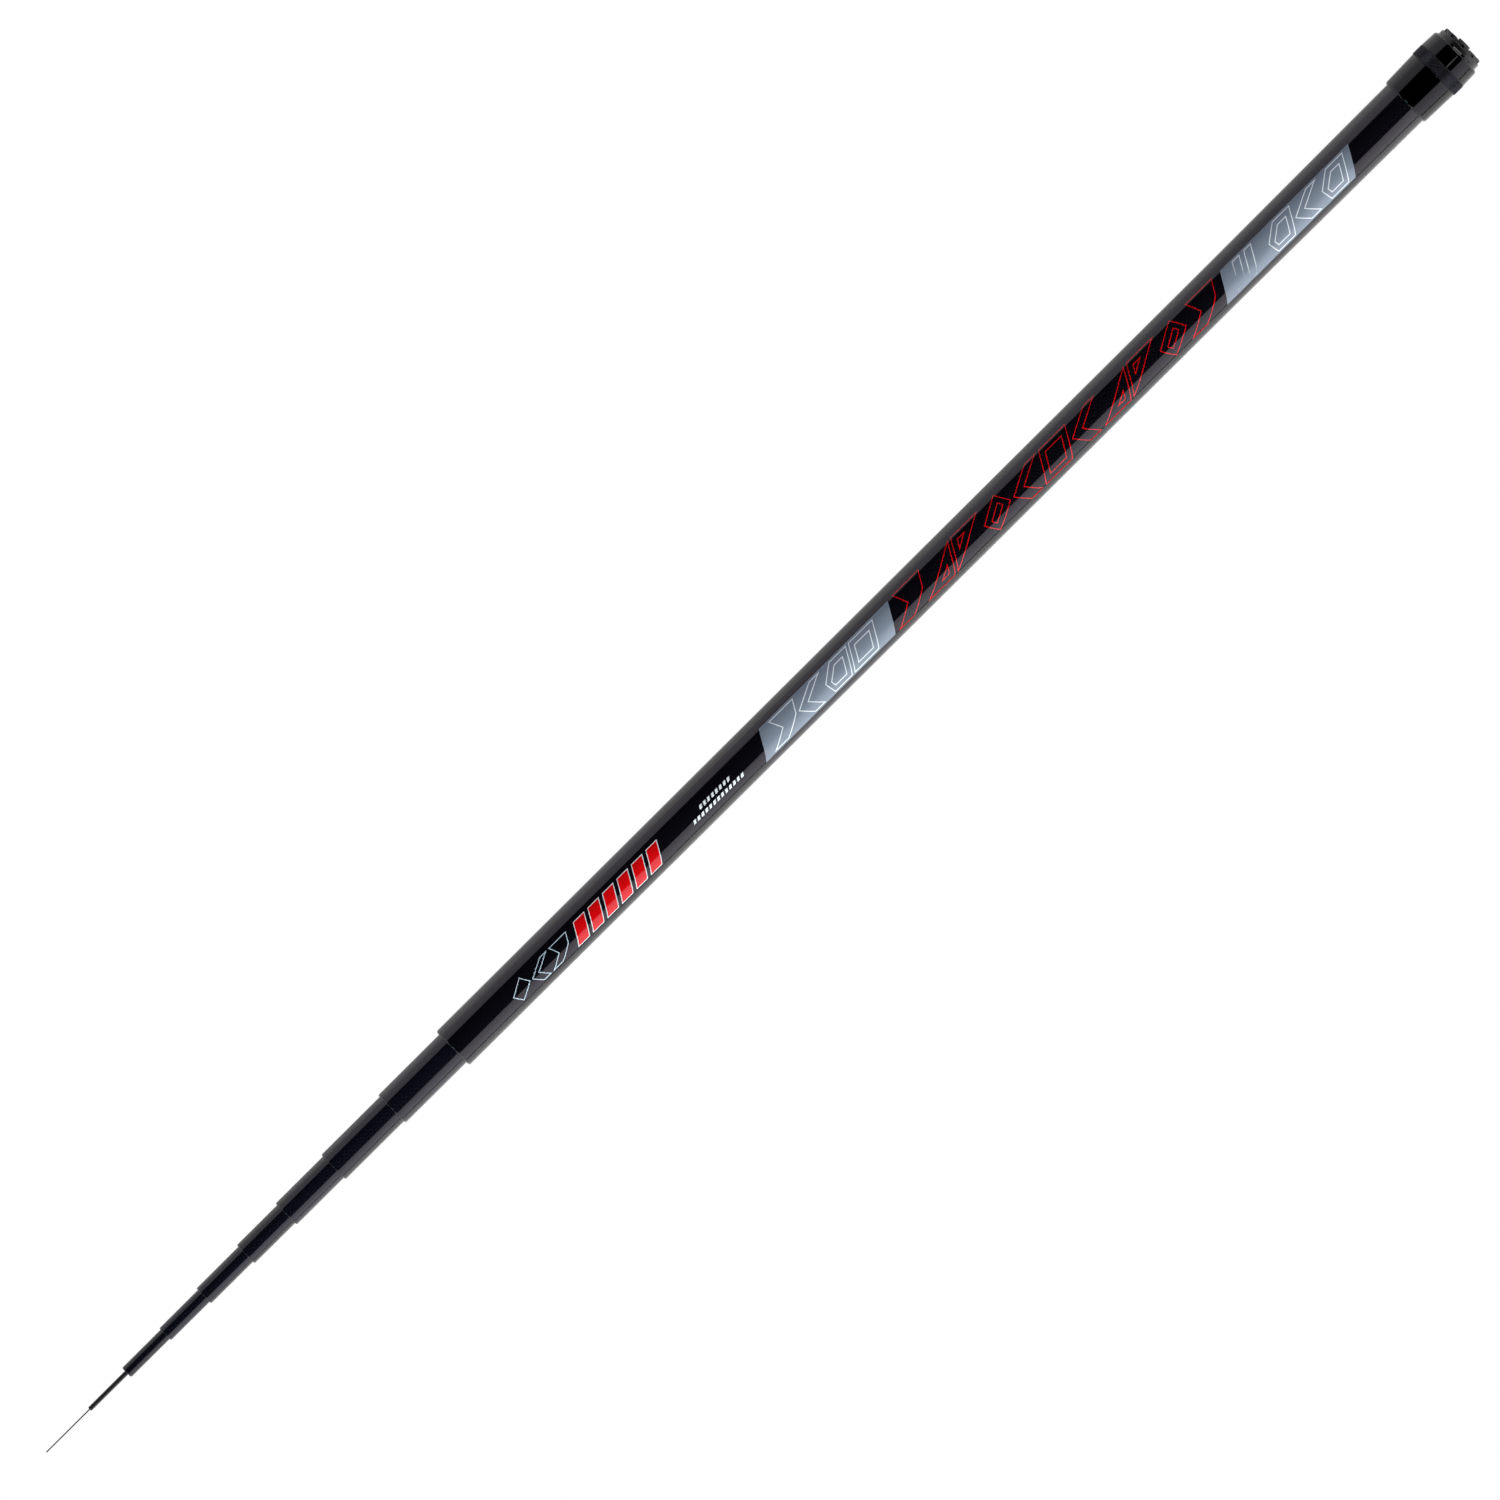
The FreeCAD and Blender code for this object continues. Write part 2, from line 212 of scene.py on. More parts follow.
def half_outlines(node):
    """The corners of a turned CAD node's outer wall and of its bore, each as rows of (x, radius).

    A triangle belongs to the outer wall where its normal points away from X, and to the bore where
    it points towards X; flat ends belong to neither.
    """
    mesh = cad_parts[node].data
    spots = np.empty(len(mesh.vertices) * 3)
    mesh.vertices.foreach_get("co", spots)
    corner = np.empty(len(mesh.loops), dtype=int)
    mesh.loops.foreach_get("vertex_index", corner)
    triangles = spots.reshape(-1, 3)[corner.reshape(-1, 3)]
    normal = np.cross(triangles[:, 1] - triangles[:, 0], triangles[:, 2] - triangles[:, 0])
    normal /= np.maximum(np.linalg.norm(normal, axis=1, keepdims=True), 1e-15)
    middle = triangles.mean(axis=1)
    facing = (normal[:, 1:] * middle[:, 1:]).sum(axis=1) / np.hypot(middle[:, 1], middle[:, 2])
    flat_end = 0.05
    walls = [triangles[way * facing > flat_end].reshape(-1, 3) for way in (1, -1)]
    return [corners_of(wall) if len(wall) else np.empty((0, 2)) for wall in walls]


def with_guards(outline, start, distance=0.3 * MM):
    """Adds a corner near each end of one straight stretch of an outline, so that the smooth shading
    next to it doesn't bend the whole stretch."""
    first, last = outline[start], outline[start + 1]
    share = distance / np.hypot(*(last - first))
    guards = [first + (last - first) * share, last + (first - last) * share]
    return np.insert(outline, start + 1, guards, axis=0)


def rounded_edge(place, radius, length, depth, front=True, steps=9):
    """A rounded edge: a quarter of an ellipse that turns an outer wall into an end face.

    At an angle a from 0 to a right angle, x is short of the end by length times (1 - sin a), and
    the radius is less than the wall's by depth times (1 - cos a).
    """
    turn = np.linspace(0, math.pi / 2, steps)
    side = 1 if front else -1
    edge = np.stack([place - side * length * (1 - np.sin(turn)), radius - depth * (1 - np.cos(turn))], 1)
    return edge if front else edge[::-1]


# Meshes from grids of points.

def grid_faces(rows, columns):
    """Quads between the neighbours of a rows by columns grid that closes both ways."""
    near, left = np.meshgrid(np.arange(rows), np.arange(columns), indexing="ij")
    far, right = (near + 1) % rows, (left + 1) % columns
    corners = [near * columns + left, near * columns + right, far * columns + right, far * columns + left]
    return np.stack(corners, axis=-1).reshape(-1, 4)


def around_pole(along, radius, angle):
    """Points at a place along X, a radius and an angle from +Z towards +Y."""
    along, radius, angle = np.broadcast_arrays(along, radius, angle)
    return np.stack([along, radius * np.sin(angle), radius * np.cos(angle)], axis=-1)


def piece_from_grids(name, grids, material, sharp=35.0):
    """One object of several closed grids of points, welded, with its faces pointing outwards."""
    points = np.concatenate([grid.reshape(-1, 3) for grid in grids])
    starts = np.cumsum([0] + [grid.size // 3 for grid in grids])
    faces = np.concatenate([grid_faces(*grid.shape[:2]) + start for grid, start in zip(grids, starts)])
    mesh = bpy.data.meshes.new(name)
    mesh.from_pydata(points, [], faces.tolist())
    work = bmesh.new()
    work.from_mesh(mesh)
    bmesh.ops.remove_doubles(work, verts=work.verts, dist=0.0001 * MM)
    bmesh.ops.recalc_face_normals(work, faces=work.faces)
    work.to_mesh(mesh)
    work.free()
    mesh.polygons.foreach_set("use_smooth", np.ones(len(mesh.polygons), dtype=bool))
    mesh.set_sharp_from_angle(angle=math.radians(sharp))
    mesh.materials.append(material)
    mesh.update()
    piece = bpy.data.objects.new(name, mesh)
    bpy.context.scene.collection.objects.link(piece)
    return piece


def angles_round(facets):
    """A column of angles, evenly spaced round the pole."""
    return np.arange(facets)[:, None] * (FULL_TURN / facets)


def turned_piece(name, outline, material, facets=None):
    """Turns a closed half outline round X: the point at row i and column j is the outline's corner
    j at angle i."""
    grid = around_pole(*outline.T[:, None], angles_round(facets or sizes().facets))
    return piece_from_grids(name, [grid], material)


def shaped_grid(steps, angle):
    """A closed grid round X from steps of an outline: each step is a place and a radius, either of
    which may be a number, a row that follows the outline, or a table that also changes with angle."""
    rows = len(angle)
    parts = []
    for place, radius in steps:
        place, radius = np.broadcast_arrays(np.atleast_2d(place), np.atleast_2d(radius))
        parts.append(np.stack([np.broadcast_to(part, (rows, part.shape[1])) for part in (place, radius)]))
    along, radius = np.concatenate(parts, axis=2)
    return around_pole(along, radius, angle)


def settle(piece, body, slot, *nodes):
    """Hands a finished piece to the frame: its body and the CAD nodes it stands for. The slot, its finish, is
    not used.
    """
    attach(piece, body)
    if nodes:
        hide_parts(*nodes)


# Shader parts.

def plug(tree, value, socket):
    """Links an output to a socket, or sets the socket's own value."""
    if isinstance(value, bpy.types.NodeSocket):
        tree.links.new(value, socket)
    else:
        socket.default_value = value


def add(tree, kind, inputs=(), **properties):
    """Adds a node, with its properties and with its inputs given as (name or number, value) pairs."""
    node = tree.nodes.new(kind)
    for name, value in properties.items():
        setattr(node, name, value)
    for name, value in inputs:
        plug(tree, value, node.inputs[name])
    return node


def calc(tree, operation, first, second=0.0):
    """One step of arithmetic."""
    return add(tree, "ShaderNodeMath", [(0, first), (1, second)], operation=operation).outputs[0]


def spread(tree, value, low, high, to_low, to_high):
    """Maps one range onto another, held at its ends."""
    return add(tree, "ShaderNodeMapRange", [
        ("Value", value), ("From Min", low), ("From Max", high), ("To Min", to_low), ("To Max", to_high),
    ]).outputs[0]


def axes(tree, vector):
    """The three coordinates of a vector."""
    return add(tree, "ShaderNodeSeparateXYZ", [("Vector", vector)]).outputs


def noise(tree, vector, scale, detail=2.0):
    """A soft noise from 0 to 1."""
    inputs = [("Vector", vector), ("Scale", scale), ("Detail", detail)]
    return add(tree, "ShaderNodeTexNoise", inputs).outputs[0]


def streaks(tree, vector, scales, detail=2.0):
    """A soft noise from 0 to 1 with a scale of its own along each axis."""
    scaled = add(tree, "ShaderNodeVectorMath", [(0, vector), (1, scales)], operation="MULTIPLY")
    return noise(tree, scaled.outputs[0], 1.0, detail)


def shader_group(name, inputs, outputs):
    """An empty node group with a vector input, named float inputs and float outputs."""
    tree = bpy.data.node_groups.new(name, "ShaderNodeTree")
    new_socket = tree.interface.new_socket
    new_socket(name="Vector", in_out="INPUT", socket_type="NodeSocketVector")
    for label, default in inputs:
        socket = new_socket(name=label, in_out="INPUT", socket_type="NodeSocketFloat")
        socket.default_value = default
    for label in outputs:
        new_socket(name=label, in_out="OUTPUT", socket_type="NodeSocketFloat")
    return tree, tree.nodes.new("NodeGroupInput").outputs, tree.nodes.new("NodeGroupOutput").inputs


def lacquer_skin():
    """Orange peel and uneven gloss of a sprayed lacquer: a height and a roughness."""
    tree, given, result = shader_group(
        "Lacquer skin", [("Peel Scale", 260.0), ("Gloss", 0.05), ("Gloss Spread", 0.04)],
        ["Height", "Roughness"])
    plug(tree, noise(tree, given["Vector"], given["Peel Scale"]), result["Height"])
    cloud = streaks(tree, given["Vector"], (14.0, 55.0, 55.0), 3.0)
    change = calc(tree, "MULTIPLY", calc(tree, "SUBTRACT", cloud, 0.5), given["Gloss Spread"])
    plug(tree, calc(tree, "MAXIMUM", calc(tree, "ADD", given["Gloss"], change), 0.02), result["Roughness"])
    return tree


def sliding_marks():
    """Hairlines along the pole where one section has rubbed in another, from 0 to 1."""
    tree, given, result = shader_group("Sliding marks", [("Amount", 0.5)], ["Mask"])
    hair = streaks(tree, given["Vector"], (9.0, 2600.0, 2600.0))
    patch = streaks(tree, given["Vector"], (30.0, 60.0, 60.0))
    lines = spread(tree, hair, 0.60, 0.72, 0.0, 1.0)
    both = calc(tree, "MULTIPLY", lines, spread(tree, patch, 0.42, 0.68, 0.0, 1.0))
    plug(tree, calc(tree, "MULTIPLY", both, given["Amount"]), result["Mask"])
    return tree


def wound_fibre():
    """Two crossed helices of carbon tow that glint faintly under the lacquer, from 0 to 1.

    The mask is the larger of two waves. Each is a sine of the angle times a whole number, plus or
    minus the place along the pole, so that it closes on itself round the tube.
    """
    tree, given, result = shader_group("Wound fibre", [("Turns", 26.0)], ["Mask"])
    along, side, height = axes(tree, given["Vector"])
    round_part = calc(tree, "MULTIPLY", calc(tree, "ARCTAN2", side, height), given["Turns"])
    along_part = calc(tree, "MULTIPLY", along, 2300.0)
    waves = [calc(tree, "SINE", calc(tree, way, round_part, along_part)) for way in ("ADD", "SUBTRACT")]
    plug(tree, spread(tree, calc(tree, "MAXIMUM", *waves), -0.2, 1.0, 0.0, 1.0), result["Mask"])
    return tree


def proud_wear():
    """Wear on whatever stands proud: from 0 at one radius from the pole's axis to 1 at another."""
    tree, given, result = shader_group(
        "Proud wear", [("From Radius", 13.5 * MM), ("To Radius", 14.0 * MM)], ["Mask"])
    _, side, height = axes(tree, given["Vector"])
    squares = [calc(tree, "MULTIPLY", part, part) for part in (side, height)]
    radius = calc(tree, "SQRT", calc(tree, "ADD", *squares))
    proud = spread(tree, radius, given["From Radius"], given["To Radius"], 0.0, 1.0)
    uneven = spread(tree, noise(tree, given["Vector"], 900.0, 3.0), 0.38, 0.66, 0.15, 1.0)
    plug(tree, calc(tree, "MULTIPLY", proud, uneven), result["Mask"])
    return tree


def use_group(tree, make, vector, *values):
    """Places a shared node group, made the first time, and gives its outputs."""
    name = make.__name__.replace("_", " ").capitalize()
    group = bpy.data.node_groups.get(name) or make()
    node = add(tree, "ShaderNodeGroup", node_tree=group)
    plug(tree, vector, node.inputs["Vector"])
    for socket, value in zip(list(node.inputs)[1:], values):
        socket.default_value = value
    return node.outputs


def new_finish(name, metallic=0.0):
    """A material with one Principled shader: the material, its tree, its inputs and object space."""
    material = bpy.data.materials.new(name)
    material.use_nodes = True
    tree = material.node_tree
    inputs = tree.nodes["Principled BSDF"].inputs
    inputs["Metallic"].default_value = metallic
    return material, tree, inputs, tree.nodes.new("ShaderNodeTexCoord").outputs["Object"]


def finished(material, colour, rough, height, depth):
    """Feeds a colour, a roughness and a height from 0 to 1, in shares of a depth, to the shader."""
    tree = material.node_tree
    inputs = tree.nodes["Principled BSDF"].inputs
    plug(tree, colour, inputs["Base Color"])
    plug(tree, rough, inputs["Roughness"])
    bump = add(tree, "ShaderNodeBump", [("Height", height), ("Distance", depth)])
    plug(tree, bump.outputs[0], inputs["Normal"])
    return material


def shade(colour, factor):
    """A lighter or darker version of a colour."""
    return tuple(min(channel * factor, 1.0) for channel in colour)


def between(tree, mask, first, second):
    """One colour, or colour output, turning into another where a mask rises from 0 to 1."""
    node = add(tree, "ShaderNodeMix", [("Factor", mask)], data_type="RGBA")
    for socket, colour in zip(node.inputs[6:8], (first, second)):
        plug(tree, colour if isinstance(colour, bpy.types.NodeSocket) else (*colour, 1.0), socket)
    return node.outputs[2]


def lacquered(name, colour, fibre=1.35, marks=0.0, turns=26.0, mirror=0.5):
    """Black lacquer over wound carbon: faint fibre, orange peel, uneven gloss, sliding hairlines."""
    material, tree, inputs, place = new_finish(name)
    inputs["Specular IOR Level"].default_value = mirror
    wound = use_group(tree, wound_fibre, place, turns)["Mask"]
    tone = between(tree, wound, shade(colour, 0.8), shade(colour, fibre))
    skin = use_group(tree, lacquer_skin, place)
    rough = skin["Roughness"]
    if marks:
        rubbed = use_group(tree, sliding_marks, place, marks)["Mask"]
        rough = calc(tree, "ADD", rough, calc(tree, "MULTIPLY", rubbed, 0.2))
    return finished(material, tone, rough, skin["Height"], PEEL_DEPTH)


def ink(name, colour):
    """A printed layer under the clear lacquer, laid down slightly unevenly."""
    material, tree, _, place = new_finish(name)
    tone = between(tree, noise(tree, place, 1400.0, 3.0), shade(colour, 0.9), shade(colour, 1.08))
    skin = use_group(tree, lacquer_skin, place)
    return finished(material, tone, skin["Roughness"], skin["Height"], PEEL_DEPTH)


def bare_carbon(name, colour):
    """Ground, unlacquered carbon: satin, with its fibres along the rod."""
    material, tree, _, place = new_finish(name)
    grain = streaks(tree, place, (60.0, 5200.0, 5200.0), 3.0)
    tone = between(tree, grain, shade(colour, 0.55), shade(colour, 1.5))
    return finished(material, tone, spread(tree, grain, 0.3, 0.7, 0.26, 0.42), grain, 0.01 * MM)


def anodised_metal(name, colour, crest):
    """Black anodised aluminium, rubbed brighter on the crests of the knurl."""
    material, tree, _, place = new_finish(name, metallic=1.0)
    worn = use_group(tree, proud_wear, place, crest - 0.22 * MM, crest + 0.02 * MM)["Mask"]
    grain = noise(tree, place, 2600.0, 3.0)
    rough = spread(tree, grain, 0.3, 0.7, 0.26, 0.40)
    return finished(material, between(tree, worn, colour, shade(colour, 3.4)), rough, grain, 0.004 * MM)


def turned_metal(name, colour):
    """Bright turned aluminium with fine tool marks round it."""
    material, tree, _, place = new_finish(name, metallic=1.0)
    marks = streaks(tree, place, (9000.0, 40.0, 40.0))
    tone = between(tree, marks, shade(colour, 0.85), colour)
    return finished(material, tone, spread(tree, marks, 0.3, 0.7, 0.18, 0.34), marks, 0.006 * MM)


def moulded_rubber(name, colour, proud_to, dusty_to):
    """Moulded rubber with a fine grain, dusty and dull along X up to the second of two places.

    Up to the first place, where the rubber stands proud, the tone goes twice as far towards the lighter shade
    as in the slots, the bowl and the pockets beyond it.
    """
    material, tree, _, place = new_finish(name)
    dust = noise(tree, place, 420.0, 4.0)
    along = axes(tree, place)[0]
    dull = spread(tree, along, dusty_to, dusty_to + 0.3 * MM, 1.0, 0.0)
    # Lighter on the proud blocks and boss; half as far towards the lighter tone in the slots, the bowl and
    # the pockets.
    proud = spread(tree, along, proud_to, proud_to + 0.5 * MM, 1.0, 0.5)
    mask = calc(tree, "MULTIPLY", calc(tree, "MULTIPLY", dull, proud), spread(tree, dust, 0.2, 0.7, 0.5, 1.0))
    tone = between(tree, mask, shade(colour, 0.15), shade(colour, 1.4))
    rough = calc(tree, "ADD", spread(tree, dust, 0.3, 0.7, 0.26, 0.36), calc(tree, "MULTIPLY", dull, 0.2))
    return finished(material, tone, rough, noise(tree, place, 5200.0, 3.0), 0.02 * MM)


def closed_foam(name, colour):
    """Closed-cell foam: a dense pattern of cut cells."""
    material, tree, _, place = new_finish(name)
    cells = add(tree, "ShaderNodeTexVoronoi", [("Vector", place), ("Scale", 2400.0)]).outputs[0]
    tone = between(tree, cells, shade(colour, 0.6), shade(colour, 1.3))
    return finished(material, tone, spread(tree, cells, 0.0, 0.8, 0.8, 0.95), cells, 0.15 * MM)


# The tubes.

def tube_outline(node):
    """A tube's closed half outline: outer wall, rounded mouth, bore, and a square-cut base."""
    outer, bore = half_outlines(node)
    mouth = outer[-1, 0]
    wall = outer[-2, 1] - bore[-1, 1]
    length = min(sizes().mouth_rounding, 1.3 * wall)
    edge = rounded_edge(mouth, outer[-2, 1], length, wall * sizes().mouth_depth)
    straight = outer[outer[:, 0] < mouth - length - 2 * STEP]
    return np.concatenate([straight, edge, bore[::-1]])


class POLE_OT_butt(bpy.types.Operator):
    """Builds the lacquered butt tube"""

    bl_idname = "pole.build_butt"
    bl_label = "Butt tube"

    def execute(self, context):
        material = lacquered("butt_lacquer", colours().blank, turns=30.0)
        piece = turned_piece("butt_blank", tube_outline("butt_tube"), material)
        settle(piece, "butt", "butt_lacquer", "butt_tube")
        return {"FINISHED"}


class POLE_OT_sections(bpy.types.Operator):
    """Builds the eight hollow inner sections; the last one is bare ground carbon"""

    bl_idname = "pole.build_sections"
    bl_label = "Inner sections"

    def execute(self, context):
        lacquer = lacquered("section_lacquer", colours().section, marks=0.6, turns=22.0)
        ground = bare_carbon("ground_carbon", colours().tip)
        for number in INNER_SECTIONS:
            node = f"section_{number}"
            last = number == INNER_SECTIONS[-1]
            piece = turned_piece(f"{node}_tube", tube_outline(node), ground if last else lacquer)
            settle(piece, node, "tip_carbon" if last else "section_lacquer", node)
        return {"FINISHED"}


class POLE_OT_tip(bpy.types.Operator):
    """Builds the solid tip rod with a rounded nose"""

    bl_idname = "pole.build_tip"
    bl_label = "Tip rod"

    def execute(self, context):
        outer, _ = half_outlines("tip_rod")
        end, radius = outer[-1, 0], outer[-2, 1]
        nose = rounded_edge(end, radius, radius, radius)
        straight = outer[outer[:, 0] < end - 2 * radius]
        axis = np.array([[outer[0, 0], 0.0]])
        outline = np.concatenate([axis, straight, nose])
        facets = sizes().facets // 4
        piece = turned_piece("tip_carbon_rod", outline, bare_carbon("tip_carbon", colours().tip), facets)
        settle(piece, "tip", "tip_carbon", "tip_rod")
        return {"FINISHED"}


class POLE_OT_ferrule(bpy.types.Operator):
    """Builds the gloss ferrule round the thick end of the butt"""

    bl_idname = "pole.build_ferrule"
    bl_label = "Ferrule"

    def execute(self, context):
        own = sizes()
        outer, bore = half_outlines("butt_collar")
        rear, front = outer[0], outer[-1]
        lean = (outer[1, 1] - rear[1]) / (outer[1, 0] - rear[0])
        front_radius = rear[1] + lean * (front[0] - rear[0])
        depth = front_radius - bore[-1, 1] - STEP
        edges = [
            rounded_edge(rear[0] - own.seam, rear[1], own.fine_edge, own.fine_edge, front=False),
            rounded_edge(front[0], front_radius, own.ferrule_rounding, depth),
        ]
        material = lacquered("ferrule_lacquer", colours().ferrule, fibre=1.2, mirror=0.33)
        outline = with_guards(np.concatenate([*edges, bore[::-1]]), len(edges[0]) - 1)
        piece = turned_piece("butt_ferrule", outline, material)
        settle(piece, "butt", "collar_gloss", "butt_collar")
        return {"FINISHED"}


# The screw cap.

def thread_height(along, angle, pitch):
    """Height from 0 to 1 of a right-hand thread at a place and an angle.

    The phase is the place in pitches plus the angle's share of a turn, because the angle from +Z
    towards +Y runs left-handed about +X. The height is a triangle wave of the phase, cut off into a
    flat crest and a flat root.
    """
    phase = along / pitch + angle / FULL_TURN
    wave = np.abs(2 * np.mod(phase, 1.0) - 1)
    return np.clip(1.6 * wave - 0.3, 0, 1)


def diamond_height(across, angle, teeth):
    """Height from 0 to 1 of a diamond knurl: the lower of two crossed triangle waves.

    across counts diamonds over the band, and the angle's share of a turn times the teeth counts
    them round it. Their sum and difference are the two families of grooves, where the height is 0.
    """
    around = angle * teeth / FULL_TURN
    waves = [1 - np.abs(2 * np.mod(count, 1.0) - 1) for count in (around + across, around - across)]
    return np.clip(1.25 * np.minimum(*waves), 0, 1)


class POLE_OT_plug(bpy.types.Operator):
    """Builds the turned plug of the cap, with its knurled band and its thread"""

    bl_idname = "pole.build_plug"
    bl_label = "Knurled plug"

    def execute(self, context):
        own = sizes()
        outer, bore = half_outlines("cap_plug")
        spigot, _, band_rear, _, crest, band_front, neck, _, screw_rear, screw_front, end = outer
        socket_mouth, socket_floor, recess_floor, recess_mouth = bore
        angle = angles_round(own.knurl_teeth * KNURL_FACETS)
        rows = own.knurl_rows * KNURL_FACETS
        share = np.linspace(0, 1, rows + 1)[None, :]
        band = band_rear[0] + share * (band_front[0] - band_rear[0])
        edge = np.clip(np.minimum(share, 1 - share) * rows / 2, 0, 1)
        diamonds = diamond_height(share * own.knurl_rows, angle, own.knurl_teeth)
        band_radius = crest[1] - own.knurl_depth * (1 - diamonds * edge)
        screw = np.arange(screw_rear[0], end[0] - STEP, own.thread_pitch / THREAD_ROWS)[None, :]
        to_an_end, run_out = np.minimum(screw - screw_rear[0], end[0] - screw), 0.75 * own.thread_pitch
        root = screw_front[1] - own.thread_depth / 2
        ridge = thread_height(screw, angle, own.thread_pitch) * np.clip(to_an_end / run_out, 0, 1)
        grid = shaped_grid([
            (socket_floor[0], 0.0), socket_floor, socket_mouth, spigot,
            (band_rear[0], spigot[1]), (band, band_radius), (band_front[0], neck[1]),
            (screw_rear[0] - 2 * STEP, neck[1]), (screw, root + own.thread_depth * ridge),
            (end[0], root), recess_mouth, recess_floor, (recess_floor[0], 0.0),
        ], angle)
        material = anodised_metal("black_anodised", colours().anodised, crest[1])
        piece = piece_from_grids("knurled_plug", [grid], material, sharp=30.0)
        settle(piece, "cap", "black_anodised", "cap_plug")
        return {"FINISHED"}


class POLE_OT_bush(bpy.types.Operator):
    """Builds the threaded bush in the ferrule, with the seat for the seal"""

    bl_idname = "pole.build_bush"
    bl_label = "Threaded bush"

    def execute(self, context):
        own = sizes()
        outer, bore = half_outlines("thread_insert")
        seat_rear, seat_front, screw_rear, screw_front = bore
        angle = angles_round(own.facets)
        screw = np.arange(screw_front[0], screw_rear[0], -own.thread_pitch / THREAD_ROWS)[None, :]
        cad_gap = 0.05 * MM
        crest = screw_front[1] - cad_gap - own.thread_depth / 2 + own.thread_gap
        ridge = thread_height(screw, angle, own.thread_pitch)
        grid = shaped_grid([
            outer[0], outer[-1], (screw, crest + own.thread_depth * ridge), seat_front, seat_rear,
        ], angle)
        material = turned_metal("plain_aluminium", colours().aluminium)
        piece = piece_from_grids("threaded_bush", [grid], material, sharp=30.0)
        settle(piece, "butt", "plain_aluminium", "thread_insert")
        return {"FINISHED"}


class POLE_OT_sleeve(bpy.types.Operator):
    """Builds the gloss sleeve at the rear of the cap"""

    bl_idname = "pole.build_sleeve"
    bl_label = "Cap sleeve"

    def execute(self, context):
        edge = sizes().fine_edge
        (rear, lip, shoulder, front), bore = half_outlines("cap_sleeve")
        bend = rounded_edge(lip[0], shoulder[1], shoulder[0] - lip[0], shoulder[1] - lip[1], front=False)
        front_edge = rounded_edge(front[0], front[1], edge, edge)
        outline = with_guards(np.concatenate([[rear], bend, front_edge, bore[::-1]]), len(bend))
        piece = turned_piece("cap_gloss_sleeve", outline, bpy.data.materials["ferrule_lacquer"])
        settle(piece, "cap", "collar_gloss", "cap_sleeve")
        return {"FINISHED"}


def crown_grid(own):
    """The bumper's crown: blocks and slots round a bowl with a boss in it.

    Columns run round the crown, a few to each block, with the first and last of a block on the
    slot's floor. Nearer the axis than the bowl's wall, a slot keeps the angle that it has there. A
    block's top falls off next to its sides, and by a quarter circle next to the bowl and the rim.
    """
    pitch = FULL_TURN / own.crown_blocks
    edge = 2 * own.fine_edge
    share = np.array([0, 0, 0.02, 0.05, 0.3, 0.5, 0.7, 0.95, 0.98, 1, 1])
    rise = np.array([0, 1, 1, 1, 1, 1, 1, 1, 1, 1, 0])
    side_drop = edge * np.array([0, 1, 0.25, 0, 0, 0, 0, 0, 0.25, 1, 0])
    block = np.arange(own.crown_blocks)[:, None] * np.ones(len(share))
    share, rise, side_drop = (np.tile(part, (own.crown_blocks, 1)).reshape(-1, 1)
                              for part in (share, rise, side_drop))
    block = block.reshape(-1, 1)
    bend = np.linspace(0, math.pi / 2, 5)
    drop = edge * (1 - np.sin(bend))
    boss = np.stack([drop[::-1], own.boss - edge * (1 - np.cos(bend[::-1]))], 1)
    bowl_side = own.crown_inner + edge * (1 - np.cos(bend))
    rim_side = own.crown_outer - edge * (1 - np.cos(bend[::-1]))
    floor, bowl = own.crown_floor, own.bowl_floor
    under, inside = 2 * LAP, own.crown_inner + 0.3 * MM
    radius = np.concatenate([
        [0.0], boss[:, 1], [own.boss, own.crown_inner], bowl_side, rim_side,
        [own.crown_outer, inside, inside, 0.0]])[None, :]
    crown_place = np.minimum(own.crown_rear + np.concatenate([drop, drop[::-1]])[None, :] + side_drop, floor)
    crown_place = floor + rise * (crown_place - floor)
    fixed = np.ones((len(block), 1))
    place = np.concatenate([
        fixed * np.concatenate([[0.0], boss[:, 0], [bowl, bowl]])[None, :], crown_place,
        fixed * np.array([[floor + under, floor + under, bowl + under, bowl + under]])], axis=1)
    half_slot = np.arcsin(own.crown_slot / 2 / np.maximum(radius, own.crown_inner))
    angle = block * pitch - pitch / 2 + half_slot + share * (pitch - 2 * half_slot)
    return around_pole(place, radius, angle)


def rim_grid(own, box):
    """The bumper's rim, disc and stem, with a row of square pockets round the rim.

    Columns run round the rim. Two of them share the angle of each wall of a pocket, one on the rim
    and one on the pocket's floor. The others are spread between the pockets and across the floor.
    """
    (disc_rear, disc_front, stem_front), (disc, stem) = box
    pitch = FULL_TURN / own.crown_blocks
    half_pocket = math.asin(own.rim_pocket_width / 2 / own.crown_outer)
    between_pockets = np.linspace(half_pocket, pitch - half_pocket, 7)
    angle = np.concatenate([[-half_pocket, 0.0, half_pocket], between_pockets])
    sunk = np.arange(len(angle)) < len(angle) - len(between_pockets)
    angle = (angle + np.arange(own.crown_blocks)[:, None] * pitch).reshape(-1, 1)
    sunk = np.tile(sunk, own.crown_blocks).reshape(-1, 1)
    pocket = np.where(sunk, own.rim_pocket_floor, own.crown_outer)
    top, bowl, inside = own.crown_floor + LAP, own.bowl_floor + LAP, own.crown_inner + 0.2 * MM
    pocket_rear, pocket_front = own.crown_floor + 2 * STEP, disc_rear - own.fine_edge
    disc_edges = np.concatenate([
        rounded_edge(disc_rear, disc, 2 * own.fine_edge, 2 * own.fine_edge, front=False),
        rounded_edge(disc_front, disc, own.fine_edge, own.fine_edge)])
    rim = own.crown_outer
    return shaped_grid([
        (bowl, 0.0), (bowl, inside), (top, inside), (top, rim), (pocket_rear, rim),
        (pocket_rear, pocket), (pocket_front, pocket), (pocket_front, rim), (disc_rear, rim),
        (disc_edges[:, 0], disc_edges[:, 1]), (disc_front, stem), (stem_front, stem), (stem_front, 0.0),
    ], angle)


